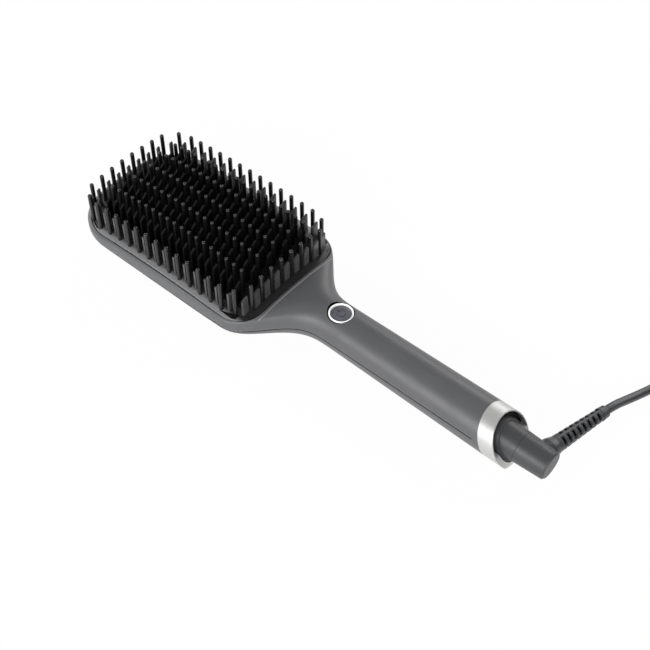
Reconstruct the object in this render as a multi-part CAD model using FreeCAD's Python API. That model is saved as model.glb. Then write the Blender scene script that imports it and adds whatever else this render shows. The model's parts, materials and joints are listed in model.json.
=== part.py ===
import FreeCAD, Part
import math
import os
from FreeCAD import Placement, Rotation, Vector

# Heated paddle brush lying on its back, bristles up. Millimetres.
# X runs from the head to the cord end, Y across the head, Z up from the table.
# The origin is on the table, midway along the brush and on its plane of symmetry.

os.makedirs("parts", exist_ok=True)

# Overall sizes
overall_length = 290.3          # head tip to the end of the cable barrel
head_half_length = 66.4         # head tip to the middle of the bristle field
head_half_width = 40.0
head_corner_radius = 24.5
crown_height = 28.7             # middle of the domed bristle bed above the table
dome_drop_along = 0.00077       # bed drop per square millimetre along X
dome_drop_across = 0.00279      # bed drop per square millimetre along Y
wall = 2.2

# How the head blends into the handle, measured from the middle of the bristle field
neck_start = 50.0
neck_length = 44.4
belly_start = 25.4
belly_length = 55.0
underside_rise_length = 30.0    # stretch over which the underside curls up at the head tip
rest_flat_depth = 0.5           # how much of the belly the table facet takes off
top_squareness = 12.0
round_power = 2.0

# Handle
handle_neck_radius = 11.85
handle_end_radius = 13.35
handle_slope = 0.02             # fall of the handle's axis per millimetre along X
ring_floor_gap = 0.3

# End ring, swivel and cord exit, along the handle's axis
ring_width = 9.35
ring_back_angle = 22.8          # degrees that the ring's back edge leans
ring_front_angle = 28.4
ring_bore_radius = 10.2
ring_lip = 0.6                  # wall left round the recess
recess_depth = 3.5
recess_floor_line = -1.2        # height, from the axis, where the recess ends
ring_nose_length = 4.8          # how far the ring's chin reaches past its middle
neck_tube_length = 6.2          # ring to seam, along the axis
barrel_length = 16.9
barrel_radius = 8.6             # at the ring
barrel_end_radius = 7.6         # where it meets its cap
barrel_collar = 1.1             # how much wider the collar at the ring is
seam_gap = 0.15
barrel_cap_thickness = 2.0
barrel_cap_chamfer = 0.9
barrel_cavity_radius = 6.0
shaft_radius = 5.0
running_clearance = 0.06
shaft_bore_radius = 2.2
slip_ring_width = 2.6
slip_ring_gap = 2.2
slip_ring_height = 1.0
clip_thickness = 1.0
clip_reach = 1.6                # how far the clip stands out of the shaft
clip_play = 0.4

# Tray and bristles
tray_half_length = 63.4
tray_half_width = 38.6
tray_head_corner = 22.5
tray_neck_corner = 16.0
tray_gap = 0.3
seat_height = 22.2
seat_thickness = 2.4
seat_width = 5.5
frame_width = 8.0
frame_inset = 0.5               # leaves a groove between the frame and the housing
bristle_pitch = 7.5
side_row = 35.4                 # perimeter bristles, from the middle line
end_row = 57.9
corner_along = 52.9
corner_across = 33.45
side_count = 13
end_count = 8
head_row_shift = -1.1           # the head end's row, off the brush's middle line
corner_fin_inset = 1.5
corner_fin_step = 0.6           # the last fin of a long side, inside the side's row
long_radius = 1.15
long_length = 18.2              # above the bed
fin_thickness = 1.2
fin_slope = 0.47                # rise of a fin's top per millimetre of its width
side_fin_width = 3.8
side_fin_height = 12.6          # high corner of the top, above the bed
head_fin_width = 1.8
neck_fin_width = 3.8
end_fin_height = 11.0
rail_thickness = 1.2
rail_width = 5.5
inner_rows = 5                  # of tall bristles, and as many of blades between them
row_pitch = 11.78
inner_count = 19                # bristles or blades in a row
inner_pitch = 5.28
tall_radius = 1.05
tall_length = 18.0              # above the middle of the bed
tip_drop_along = 0.0014         # tips' drop per square millimetre along X
tip_drop_across = 0.0045        # tips' drop per square millimetre along Y
blade_thickness = 1.2
blade_width = 3.0
blade_below_tips = 3.2          # middle of a blade's top, under the tips' dome
blade_rise = 2.2                # from one end of its slanted top to the other
strip_width = 2.8
strip_thickness = 1.2

# Heating stack under the bed
plate_bottom = 20.7
plate_flange = 1.5              # overlap of the plate under the frame
heater_length = 84.0
heater_width = 15.0
heater_thickness = 1.8
heater_offset = 12.5
sheet_thickness = 0.5
sheet_length = 90.0
sheet_width = 46.0
clamp_thickness = 1.0
clamp_length = 104.0
clamp_width = 54.0
clamp_screw_along = 47.0
clamp_screw_across = 22.5
clamp_screw_length = 3.2
fuse_radius = 2.0
fuse_length = 12.0
sensor_length = 6.0
sensor_width = 4.5

# Fasteners
screw_radius = 1.1
screw_head_radius = 2.2
screw_head_height = 1.4
boss_radius = 3.0

# Power button
button_from_head = 94.5
light_ring_radius = 6.5
light_ring_width = 0.75
button_sink = 1.3               # how far the ring sits under the handle's skin
button_gap = 0.25
recess_margin = 0.7
cap_thickness = 2.4
stem_radius = 2.0
button_travel = 0.8

# Control board, in the handle's own frame
board_width = 17.0
board_thickness = 1.6
board_top = -0.4
board_before_button = 14.0      # from the board's head end to the button
board_to_contacts = 9.2         # from the board's other end to the contact block
board_screw_inset = 5.0
switch_size = 6.0
switch_height = 3.5
plunger_radius = 1.75

# Leads
lead_radius = 0.75
thin_lead_radius = 0.6
lead_spread = 4.0               # mains leads, from the middle line

# Cord
cord_radius = 2.3
relief_from_end = 7.8           # where the relief's axis meets the barrel's, from the barrel's end
relief_lift = 0.6
relief_reach = Vector(8.7, 46.1, -3.65)
relief_root_radius = 4.6
flare_radius = 5.5              # where the flare meets the barrel's skin
flare_length = 3.4
relief_tip_radius = 3.3
relief_collar_radius = 3.5
relief_collar_length = 4.0
relief_slots = 9
relief_slot_width = 1.9
relief_slot_pitch = 3.6
relief_slot_depth = 1.25
relief_slot_reach = 0.58           # half a slot's length, as a share of the radius
relief_slot_turn = 25.0            # degrees the four rows are turned about the relief's axis
relief_first_slot = 15.0
coil_mid_radius = 27.0
coil_layers = 4
coil_from_relief = Vector(57.1, 60.65, 0)
tail_length = 56.0
tie_width = 9.0
tie_thickness = 0.8
plug_length = 36.0
plug_width = 35.0
plug_thickness = 13.6
pin_spacing = 18.6
plug_pin_radius = 2.0
plug_pin_length = 19.0
pin_anchor_radius = 2.6
pin_anchor_length = 4.0

# Places worked out from the sizes above
tilt = math.degrees(math.atan(handle_slope))
head_x = head_half_length - overall_length / 2
barrel_end = overall_length / 2 - (barrel_end_radius - barrel_cap_chamfer) * handle_slope
seam = barrel_end - barrel_length
ring_front = seam - neck_tube_length
ring_back = ring_front - ring_width
ring_middle = (ring_front + ring_back) / 2
axis_height = handle_end_radius + handle_slope * ring_middle + ring_floor_gap
button_x = head_x + button_from_head
socket_start = ring_back - 14.0
rings_end = socket_start - 1.2
block_start = rings_end - 2 * slip_ring_width - slip_ring_gap - 1.0
board_start = button_x - board_before_button
board_end = block_start - board_to_contacts
rear_x = head_x + head_half_length      # far edge of the head, where the neck begins
handle = Placement(Vector(0, 0, axis_height), Rotation(Vector(0, 1, 0), tilt))


def parting_height(x):
    """Height of the plane where the two housings meet, which holds the handle's axis."""
    return axis_height - handle_slope * x


def bed_height(x, y):
    """Height of the domed bristle bed; x and y are from the middle of the field."""
    return crown_height - dome_drop_along * x * x - dome_drop_across * y * y


def tip_height(x, y):
    """Height of the dome on which the tips of the inner bristles lie."""
    return crown_height + tall_length - tip_drop_along * x * x - tip_drop_across * y * y


def handle_radius(x):
    share = (x - rear_x) / (ring_back - rear_x)
    return handle_neck_radius + (handle_end_radius - handle_neck_radius) * share


def fade(distance, length):
    """1 before the blend, 0 after it, level at both ends."""
    t = min(max(distance / length, 0.0), 1.0)
    return (1 - t * t) ** 4


def section(x, inset):
    """Half width, top, belly, cross dome and top squareness of the housing at x."""
    along = x - head_x
    radius = handle_radius(x)
    neck = fade(along - neck_start, neck_length)
    belly = fade(along - belly_start, belly_length)
    half_width = radius + (head_half_width - radius) * neck
    corner = min(max(head_corner_radius - head_half_length - along, 0.0), head_corner_radius - inset)
    round_in = head_corner_radius - inset
    half_width += math.sqrt(round_in ** 2 - corner ** 2) - round_in
    reach = min(along, neck_start + neck_length)
    crown = crown_height - dome_drop_along * reach ** 2 - parting_height(x)
    top = radius + (crown - radius) * neck
    depth = radius + (parting_height(x) + rest_flat_depth - radius) * belly
    tip = min(max(-along / (head_half_length - inset), 0.0), 1.0)
    curl = (underside_rise_length - head_half_length - along) / (underside_rise_length * 1.03 - inset)
    curl = min(max(curl, 0.0), 1.0)
    top *= (1 - tip ** 18) ** (1 / 18)
    depth *= (1 - curl ** 2.5) ** (1 / 2.5)
    power = round_power + (top_squareness - round_power) * neck ** 2
    return half_width - inset, top - inset, depth - inset, dome_drop_across * neck, power


def section_point(x, turn, inset, upper):
    """Point of the superellipse section; turn runs from 0 at +Y to pi at -Y."""
    half_width, top, depth, dome, power = section(x, inset)
    if not upper:
        power = round_power
    c, s = math.cos(turn), math.sin(turn)
    ray = (abs(c) ** power + abs(s) ** power) ** (-1 / power)
    y = half_width * ray * c
    if upper:
        return Vector(x, y, parting_height(x) + (top - dome * y * y) * ray * s)
    return Vector(x, y, parting_height(x) - depth * ray * s)


def half_body(inset, upper, end_x):
    """Solid half of the housing's outer form, closed by the parting plane."""
    stations, steps = 56, 48
    tip_x = head_x - (head_half_length - inset) * 0.9995
    rows = []
    for i in range(stations):
        x = tip_x + (end_x - tip_x) * (i / (stations - 1)) ** 1.7
        rows.append([section_point(x, math.pi * j / steps, inset, upper) for j in range(steps + 1)])
    degree = 3

    def knots(count):
        inner = count - degree + 1
        return list(range(inner)), [degree + 1] + [1] * (inner - 2) + [degree + 1]

    u_knots, u_mults = knots(stations)
    v_knots, v_mults = knots(steps + 1)
    surface = Part.BSplineSurface()
    surface.buildFromPolesMultsKnots(rows, u_mults, v_mults, u_knots, v_knots,
                                     False, False, degree, degree)
    skin = surface.toShape()
    sides = [surface.vIso(v_knots[0]).toShape(), surface.vIso(v_knots[-1]).toShape()]
    ends = [surface.uIso(u_knots[0]).toShape(), surface.uIso(u_knots[-1]).toShape()]
    chords = [Part.makeLine(rows[k][0], rows[k][-1]) for k in (0, -1)]
    caps = [Part.Face(Part.Wire([edge, chord])) for edge, chord in zip(ends, chords)]
    base = Part.Face(Part.Wire(Part.__sortEdges__(sides + chords)))
    shell = Part.makeShell([skin, base] + caps)
    shell.sewShape()
    solid = Part.makeSolid(shell)
    if solid.Volume < 0:
        solid.reverse()
    return solid


def outline(grow):
    """Closed plan outline of the tray, grown outwards by the given amount."""
    length, width = tray_half_length + grow, tray_half_width + grow
    head, neck = tray_head_corner + grow, tray_neck_corner + grow
    corners = [(head_x - length, -width, head, 180), (head_x + length, -width, neck, 270),
               (head_x + length, width, neck, 0), (head_x - length, width, head, 90)]
    arcs = []
    for x, y, radius, start in corners:
        cx = x + radius if x < head_x else x - radius
        cy = y + radius if y < 0 else y - radius
        points = [Vector(cx + radius * math.cos(math.radians(start + a)),
                         cy + radius * math.sin(math.radians(start + a)), 0) for a in (0, 45, 90)]
        arcs.append(points)
    edges = []
    for k, points in enumerate(arcs):
        edges.append(Part.Arc(*points).toShape())
        edges.append(Part.makeLine(points[2], arcs[(k + 1) % 4][0]))
    return Part.Wire(edges)


def prism(grow, low, high):
    face = Part.Face(outline(grow))
    face.translate(Vector(0, 0, low))
    return face.extrude(Vector(0, 0, high - low))


def above_bed(lift=0.0):
    """Everything above the domed bed, as a cutting tool."""
    span_x, span_y = tray_half_length + 8, tray_half_width + 8
    grid = []
    for i in range(-4, 5):
        x = span_x * i / 4
        grid.append([Vector(head_x + x, span_y * j / 4, bed_height(x, span_y * j / 4) + lift)
                     for j in range(-4, 5)])
    surface = Part.BSplineSurface()
    surface.interpolate(grid)
    return surface.toShape().extrude(Vector(0, 0, crown_height))


def box(x0, x1, y0, y1, z0, z1):
    return Part.makeBox(x1 - x0, y1 - y0, z1 - z0, Vector(x0, y0, z0))


def rod(radius, start, end):
    axis = end.sub(start)
    return Part.makeCylinder(radius, axis.Length, start, axis)


def on_handle(shape):
    """Move a shape drawn about the handle's axis to its place."""
    moved = shape.copy()
    moved.Placement = handle.multiply(moved.Placement)
    return moved


def slanted_space(position, angle, ahead):
    """Space ahead of, or behind, a plane that leans back at the top."""
    size = 400.0
    start = position if ahead else position - size
    block = box(start, start + size, -size, size, -size, size)
    block.rotate(Vector(position, 0, 0), Vector(0, 1, 0), -angle)
    return block


def tube_path(points):
    """Straight runs joined by tangent arcs, 0.45 of the shorter run at each corner."""
    edges, last = [], points[0]
    radii = []
    for before, corner, after in zip(points, points[1:], points[2:]):
        back, ahead = before.sub(corner), after.sub(corner)
        turn = math.pi - back.getAngle(ahead)
        if turn < 1e-4:
            continue
        cut = 0.45 * min(back.Length, ahead.Length)
        radius = cut / math.tan(turn / 2)
        back.normalize()
        ahead.normalize()
        start, end = corner + back * cut, corner + ahead * cut
        middle_way = (back + ahead).normalize()
        centre = corner + middle_way * (radius / math.cos(turn / 2))
        edges.append(Part.makeLine(last, start))
        edges.append(Part.Arc(start, centre - middle_way * radius, end).toShape())
        radii.append(radius)
        last = end
    edges.append(Part.makeLine(last, points[-1]))
    return Part.Wire(edges), radii


def tube(points, radius, name=""):
    path, radii = tube_path(points)
    profile = Part.Wire(Part.makeCircle(radius, points[0], points[1].sub(points[0])))
    solid = path.makePipeShell([profile], True, False)
    if name:
        ideal = math.pi * radius ** 2 * path.Length
        print(name, "length %.1f" % path.Length, "volume share %.4f" % (solid.Volume / ideal),
              "radii", [round(value, 1) for value in radii])
    return solid


def screw(top, length):
    """Screw pointing down, with its head's underside at top."""
    shank = rod(screw_radius, top, top - Vector(0, 0, length))
    head = Part.makeCylinder(screw_head_radius, screw_head_height, top)
    drive = Part.makeCylinder(screw_radius * 0.6, screw_head_height / 2,
                              top + Vector(0, 0, screw_head_height / 2), Vector(0, 0, 1))
    return head.fuse(shank).cut(drive)


def upside_down(shape, centre):
    turned = shape.copy()
    turned.rotate(centre, Vector(1, 0, 0), 180)
    return turned


# ---- Bristles and fins
field = Vector(head_x, 0, 0)


def bristle(x, y, root, radius, top):
    """Vertical bristle with a round tip; x and y are from the middle of the field."""
    tip = field + Vector(x, y, top - radius)
    shank = rod(radius, field + Vector(x, y, root), tip)
    return shank.fuse(Part.makeSphere(radius, tip))


def long_bristle(x, y):
    return bristle(x, y, seat_height, long_radius, bed_height(x, y) + long_length)


def tall_bristle(x, y):
    return bristle(x, y, plate_bottom, tall_radius, tip_height(x, y))


def plate_across(x, y, thickness, width, foot, top, rise):
    """Thin upright plate square to X; its top slants up towards +Y about the given height."""
    back, half = -thickness / 2, width / 2
    corners = [(-half, foot), (-half, top - rise / 2), (half, top + rise / 2), (half, foot)]
    points = [field + Vector(x + back, y + across, height) for across, height in corners]
    face = Part.Face(Part.makePolygon(points + points[:1]))
    return face.extrude(Vector(thickness, 0, 0))


def blade(x, y):
    return plate_across(x, y, blade_thickness, blade_width, plate_bottom,
                        tip_height(x, y) - blade_below_tips, blade_rise)


def comb(strip, teeth):
    """Bristles joined by the strip that carries them."""
    return strip.multiFuse(teeth).removeSplitter()


def fin(x, y, width, top, side):
    """Guard fin square to X; its top slopes up to the given height on the side of +Y or -Y."""
    rise = fin_slope * width
    return plate_across(x, y, fin_thickness, width, seat_height, top - rise / 2, side * rise)


def side_fin(x, row, side):
    middle = row - 0.5 - side_fin_width / 2
    return fin(x, side * middle, side_fin_width, bed_height(x, row) + side_fin_height, side)


def end_fin(end, row, y):
    width = head_fin_width if end < 0 else neck_fin_width
    return fin(end * row, y, width, bed_height(row, y) + end_fin_height, 1)


def side_strip(side):
    reach = bristle_pitch * (side_count - 1) / 2
    teeth = [long_bristle(-reach + bristle_pitch * k, side * side_row) for k in range(side_count)]
    teeth += [long_bristle(end * corner_along, side * corner_across) for end in (-1, 1)]
    teeth += [side_fin(-reach + bristle_pitch * (k + 0.5), side_row, side) for k in range(side_count - 1)]
    teeth += [side_fin(end * (corner_along + reach) / 2, side_row - corner_fin_step, side)
              for end in (-1, 1)]
    inner = side_row + 1.4 - rail_width
    low, high = sorted((side * inner, side * (side_row + 1.4)))
    rail = box(head_x - corner_along - 2.0, head_x + corner_along + 2.0, low, high,
               seat_height, seat_height + rail_thickness)
    return comb(rail.common(prism(-0.8, seat_height, crown_height)), teeth)


def end_strip(end):
    reach = bristle_pitch * (end_count - 1) / 2
    shift = head_row_shift if end < 0 else 0.0
    teeth = [long_bristle(end * end_row, shift - reach + bristle_pitch * k) for k in range(end_count)]
    teeth += [end_fin(end, end_row, shift - reach + bristle_pitch * (k + 0.5)) for k in range(end_count - 1)]
    corner_fin_across = (corner_across + reach) / 2
    teeth += [end_fin(end, end_row - corner_fin_inset, side * corner_fin_across) for side in (-1, 1)]
    x = head_x + end * end_row
    rail = box(x - rail_width / 2 + 1.0, x + rail_width / 2 - 1.0, -corner_fin_across - 1.2,
               corner_fin_across + 1.2, seat_height, seat_height + rail_thickness)
    return comb(rail.common(prism(-0.8, seat_height, crown_height)), teeth)


def inner_row(x, y, tooth):
    """Row of one kind of tooth on its strip; x and y are the row's middle."""
    reach = inner_pitch * (inner_count - 1) / 2
    teeth = [tooth(x - reach + inner_pitch * k, y) for k in range(inner_count)]
    end, half = reach + strip_width / 2, strip_width / 2
    strip = box(head_x + x - end, head_x + x + end, y - half, y + half,
                plate_bottom, plate_bottom + strip_thickness)
    return comb(strip, teeth)


shapes = {}
for name, side in (("left", 1), ("right", -1)):
    shapes["long_bristles_" + name] = side_strip(side)
for name, end in (("head_end", -1), ("neck_end", 1)):
    shapes["long_bristles_" + name] = end_strip(end)
# Bristle rows and blade rows alternate; each kind is a quarter pitch off the middle, both ways
stagger_along, stagger_across = inner_pitch / 4, row_pitch / 4
for k in range(inner_rows):
    y = row_pitch * (k - (inner_rows - 1) / 2)
    shapes["tall_bristle_row_%d" % (k + 1)] = inner_row(-stagger_along, y + stagger_across, tall_bristle)
    shapes["blade_row_%d" % (k + 1)] = inner_row(stagger_along, y - stagger_across, blade)
perimeter = [shape for name, shape in shapes.items() if name.startswith("long_")]
interior = [shape for name, shape in shapes.items() if not name.startswith("long_")]

# ---- Frame and heating plate
over_bed = above_bed()
ring_blank = prism(-frame_inset, seat_height, crown_height).cut(prism(-frame_width, 0, 2 * crown_height))
shapes["bristle_frame"] = ring_blank.cut(over_bed).cut(Part.makeCompound(perimeter))

plate = prism(-frame_width - tray_gap, plate_bottom, crown_height + 1).cut(over_bed)
plate = plate.fuse(prism(plate_flange - frame_width, plate_bottom, seat_height))
heater_bottom = plate_bottom - heater_thickness
sheet_bottom = heater_bottom - sheet_thickness
clamp_bottom = sheet_bottom - clamp_thickness
clamp_spots = [field + Vector(sx * clamp_screw_along, sy * clamp_screw_across, 0)
               for sx in (-1, 1) for sy in (-1, 1)]
for spot in clamp_spots:
    plate = plate.fuse(Part.makeCylinder(boss_radius, plate_bottom - sheet_bottom,
                                         spot + Vector(0, 0, sheet_bottom)))
plate = plate.removeSplitter()
clamp_screws = []
for spot in clamp_spots:
    seat = spot + Vector(0, 0, clamp_bottom)
    clamp_screws.append(upside_down(screw(seat, clamp_screw_length), seat))
shapes["clamp_screws"] = Part.makeCompound(clamp_screws)
plate = plate.cut(Part.makeCompound(interior + clamp_screws))
shapes["heating_plate"] = plate

# ---- Heating stack
heaters = [box(head_x - heater_length / 2, head_x + heater_length / 2,
               side * heater_offset - heater_width / 2, side * heater_offset + heater_width / 2,
               heater_bottom, plate_bottom) for side in (-1, 1)]
shapes["ptc_heaters"] = Part.makeCompound(heaters)
shapes["insulation_sheet"] = box(head_x - sheet_length / 2, head_x + sheet_length / 2,
                                 -sheet_width / 2, sheet_width / 2, sheet_bottom, heater_bottom)
for spot in clamp_spots:
    shapes["insulation_sheet"] = shapes["insulation_sheet"].cut(
        Part.makeCylinder(boss_radius + tray_gap, 2 * sheet_thickness,
                          spot + Vector(0, 0, sheet_bottom - sheet_thickness / 2)))
clamp = box(head_x - clamp_length / 2, head_x + clamp_length / 2, -clamp_width / 2, clamp_width / 2,
            clamp_bottom, sheet_bottom)
stiffener = box(head_x - clamp_length / 2, head_x + clamp_length / 2, -1.0, 1.0,
                clamp_bottom - 3.0, clamp_bottom)
for side in (-1, 1):
    rib = stiffener.copy()
    rib.translate(Vector(0, side * (clamp_width / 2 - 1.0), 0))
    clamp = clamp.fuse(rib)
shapes["heater_clamp"] = clamp.removeSplitter().cut(shapes["clamp_screws"])
shapes["temperature_sensor"] = box(head_x - sensor_length / 2, head_x + sensor_length / 2,
                                   -sensor_width / 2, sensor_width / 2, heater_bottom, plate_bottom)
fuse_height = clamp_bottom - fuse_radius
fuse_end = Vector(head_x + fuse_length / 2, 0, fuse_height)
shapes["thermal_fuse"] = rod(fuse_radius, fuse_end - Vector(fuse_length, 0, 0), fuse_end)

# ---- Housings
open_end = ring_back + 4 * handle_end_radius
behind_ring = on_handle(slanted_space(ring_back, ring_back_angle, False))
upper_form = half_body(0.0, True, open_end)
lower_form = half_body(0.0, False, open_end)
upper_hollow = half_body(wall, True, open_end + 5)
lower_hollow = half_body(wall, False, open_end + 5)
front = upper_form.cut(upper_hollow).common(behind_ring)
rear = lower_form.cut(lower_hollow).common(behind_ring)

seat_bottom = seat_height - seat_thickness
seat = prism(1.0, seat_bottom, seat_height).cut(prism(-seat_width, 0, crown_height))
seat = seat.common(upper_form)
front = front.fuse(seat)
front = front.cut(prism(tray_gap, seat_height, 2 * crown_height))
front = front.cut(prism(-seat_width, seat_bottom, 2 * crown_height))

# Head screws stand in the seat's corners and reach bosses that rise from the rear housing
def corner_spot(end, side):
    radius = tray_head_corner if end < 0 else tray_neck_corner
    centre_x = head_x + end * (tray_half_length - radius)
    centre_y = side * (tray_half_width - radius)
    reach = (radius - seat_width / 2 - 0.2) / math.sqrt(2)
    return Vector(centre_x + end * reach, centre_y + side * reach, seat_height)


head_screws = []
posts = []
for end in (-1, 1):
    for side in (-1, 1):
        spot = corner_spot(end, side)
        sunk = spot - Vector(0, 0, screw_head_height + 0.2)
        head_screws.append(screw(sunk, 9.0))
        front = front.cut(Part.makeCylinder(screw_head_radius, 3 * screw_head_height, sunk))
        posts.append(Part.makeCylinder(boss_radius, seat_bottom, Vector(spot.x, spot.y, 0)))
shapes["head_screws"] = Part.makeCompound(head_screws)

# Board posts, drawn about the handle's axis
board_under = board_top - board_thickness
board_spots = [Vector(board_start + board_screw_inset, 0, board_top),
               Vector(board_end - board_screw_inset, 0, board_top)]
board_posts = [on_handle(Part.makeCylinder(boss_radius, 2 * handle_end_radius, spot - Vector(
    0, 0, board_thickness + 2 * handle_end_radius))) for spot in board_spots]
board_screws = [on_handle(screw(spot, 7.0)) for spot in board_spots]
shapes["board_screws"] = Part.makeCompound(board_screws)

rear = rear.fuse(Part.makeCompound(posts + board_posts).common(lower_form.common(behind_ring)))

# Button seat: a bore through the front housing with a shallow recess round the ring
button_top = handle_radius(button_x) - button_sink
bore = on_handle(Part.makeCylinder(light_ring_radius, handle_end_radius, Vector(button_x, 0, 1)))
recess = on_handle(Part.makeCylinder(light_ring_radius + recess_margin, handle_end_radius,
                                     Vector(button_x, 0, button_top - 0.6)))
front = front.cut(bore).cut(recess)

# Table facet under the head, then the tops of the posts and the screws' own holes
below_table = box(head_x - 2 * head_half_length, overall_length, -overall_length, overall_length, -50, 0)
rear = rear.cut(below_table)
rear = rear.fuse(Part.makeCompound(posts).common(upper_hollow))
front = front.cut(rear)
front = front.cut(shapes["head_screws"])
rear = rear.cut(Part.makeCompound(head_screws + board_screws))
shapes["front_housing"] = front
shapes["rear_housing"] = rear

# ---- Power button and light ring
ring_low = button_top - 3.2
skirt = on_handle(Part.makeCylinder(light_ring_radius, 3.2, Vector(button_x, 0, ring_low)))
flange = on_handle(Part.makeCylinder(light_ring_radius + 1.2, 1.0, Vector(button_x, 0, ring_low)))
well = on_handle(Part.makeCylinder(light_ring_radius - light_ring_width, 5,
                                   Vector(button_x, 0, ring_low - 1)))
light_ring = skirt.fuse(flange).cut(well)
shapes["front_housing"] = shapes["front_housing"].cut(light_ring)
shapes["light_ring"] = light_ring.removeSplitter()

cap_radius = light_ring_radius - light_ring_width - button_gap
switch_top = board_top + switch_height
plunger_top = switch_top + 2 * button_travel
disc = Part.makeCylinder(cap_radius, cap_thickness, Vector(button_x, 0, button_top - cap_thickness))
crown_ball = Part.makeSphere(5 * cap_radius, Vector(button_x, 0, button_top - 5 * cap_radius))
stem = Part.makeCylinder(stem_radius, button_top - plunger_top - 1, Vector(button_x, 0, plunger_top))
cap = disc.common(crown_ball).fuse(stem).removeSplitter()
shapes["power_button_cap"] = on_handle(cap)
plunger_foot = switch_top - 2 * button_travel
plunger = Part.makeCylinder(plunger_radius, plunger_top - plunger_foot, Vector(button_x, 0, plunger_foot))
shapes["switch_plunger"] = on_handle(plunger)

# ---- Control board and its parts
half_switch = switch_size / 2
switch = box(button_x - half_switch, button_x + half_switch, -half_switch, half_switch,
             board_top, switch_top)
switch = switch.cut(Part.makeCylinder(plunger_radius + 0.1, switch_height,
                                      Vector(button_x, 0, plunger_foot - button_travel - 0.2)))
shapes["tact_switch"] = on_handle(switch)
board = box(board_start, board_end, -board_width / 2, board_width / 2, board_under, board_top)
shapes["control_board"] = on_handle(board).cut(shapes["board_screws"])


def on_board(x0, length, y, width, height):
    """Box on the board's upper face; x0 is from the board's head end."""
    return on_handle(box(board_start + x0, board_start + x0 + length, y - width / 2, y + width / 2,
                         board_top, board_top + height))


shapes["status_led"] = on_board(19.0, 2.0, 4.2, 1.6, 1.2)
shapes["control_chip"] = on_board(23.0, 8.0, 0, 6.5, 1.5)
shapes["triac"] = on_board(53.0, 4.6, 0, 10.0, 7.5)
shapes["surge_fuse"] = on_board(60.0, 8.0, 0, 4.0, 4.0)
buzzer_spot = Vector(board_start + 37.0, 0, board_top)
buzzer = Part.makeCylinder(4.5, 4.0, buzzer_spot).cut(
    Part.makeCylinder(0.8, 2.0, buzzer_spot + Vector(0, 0, 3.0)))
shapes["buzzer"] = on_handle(buzzer)
shapes["smoothing_capacitor"] = on_handle(Part.makeCylinder(
    4.0, 8.0, Vector(board_start + 47.0, 0, board_top)))

# ---- End ring, swivel socket and neck tube
recess_radius = handle_end_radius - ring_lip
ahead_of_back = slanted_space(ring_back, ring_back_angle, True)
behind_front = slanted_space(ring_front, ring_front_angle, False)
behind_floor = slanted_space(ring_front - recess_depth, ring_front_angle, False)
ring_zone_start = ring_back - handle_end_radius
zone_length = 4 * handle_end_radius


def along_axis(radius, start, length):
    return Part.makeCylinder(radius, length, Vector(start, 0, 0), Vector(1, 0, 0))


def barrel_radius_at(x):
    share = (x - ring_front) / (barrel_end - ring_front)
    return barrel_radius + (barrel_end_radius - barrel_radius) * share


def taper(start, end):
    """Stretch of the outer form that narrows from the ring to the barrel's end."""
    return Part.makeCone(barrel_radius_at(start), barrel_radius_at(end), end - start,
                         Vector(start, 0, 0), Vector(1, 0, 0))


ring_space = ahead_of_back.common(behind_front).common(
    along_axis(2 * handle_end_radius, ring_zone_start, ring_front + ring_nose_length - ring_zone_start))
upper_side = box(ring_zone_start, ring_zone_start + zone_length, -50, 50, recess_floor_line, 50)
recess_form = along_axis(recess_radius, ring_zone_start, zone_length).common(upper_side)
bore_form = along_axis(ring_bore_radius, ring_zone_start, zone_length)
ring = along_axis(handle_end_radius, ring_zone_start, zone_length).common(ring_space)
shapes["end_ring"] = on_handle(ring.cut(recess_form).cut(bore_form))

collar_radius = barrel_radius + barrel_collar
socket_body_radius = handle_end_radius - wall - 0.35
tube_start = socket_start + 6.0
flange_space = ahead_of_back.common(behind_floor)
flange = recess_form.fuse(bore_form).common(flange_space)
body_length = ring_back + 8 - socket_start
socket = along_axis(socket_body_radius, socket_start, body_length).common(
    slanted_space(ring_back, ring_back_angle, False)).fuse(flange)
socket = socket.cut(along_axis(barrel_radius, tube_start, zone_length))
socket = socket.cut(along_axis(shaft_radius + clip_reach + clip_play, socket_start - 1, zone_length))
collar = along_axis(collar_radius, tube_start, zone_length).common(
    slanted_space(ring_front + 0.4, ring_front_angle, False)).common(
    slanted_space(ring_front - recess_depth, ring_front_angle, True))
neck_tube = along_axis(barrel_radius, tube_start, ring_front - tube_start).fuse(
    taper(ring_front, seam)).fuse(collar)
neck_tube = neck_tube.cut(along_axis(shaft_radius + running_clearance, socket_start, zone_length))
shapes["swivel_socket"] = on_handle(socket.removeSplitter())
shapes["swivel_neck"] = on_handle(neck_tube.removeSplitter())

# ---- Barrel with its shaft, slip rings and clip
clip_start = tube_start - clip_thickness - 0.2
shaft_start = rings_end - 2 * slip_ring_width - slip_ring_gap - 2.0
cap_start = barrel_end - barrel_cap_thickness
barrel = taper(seam + seam_gap, cap_start)
barrel = barrel.fuse(along_axis(shaft_radius, rings_end, seam + 2 - rings_end))
barrel = barrel.fuse(along_axis(shaft_radius - slip_ring_height, shaft_start, clip_start - shaft_start))
cavity_start = seam + 3.0
barrel = barrel.cut(along_axis(barrel_cavity_radius, cavity_start, zone_length))
barrel = barrel.cut(along_axis(shaft_bore_radius, shaft_start - 1, zone_length))
end_cap = taper(cap_start, barrel_end)
end_cap = end_cap.makeChamfer(barrel_cap_chamfer, [end_cap.Edges[0] if abs(
    end_cap.Edges[0].BoundBox.XMax - barrel_end) < 1e-3 else end_cap.Edges[2]])
spigot = along_axis(barrel_cavity_radius, cap_start - 2.0, 2.0).cut(
    along_axis(barrel_cavity_radius - 1.2, cap_start - 2.0, 2.0))
cap_with_spigot = on_handle(end_cap.fuse(spigot).removeSplitter())

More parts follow.
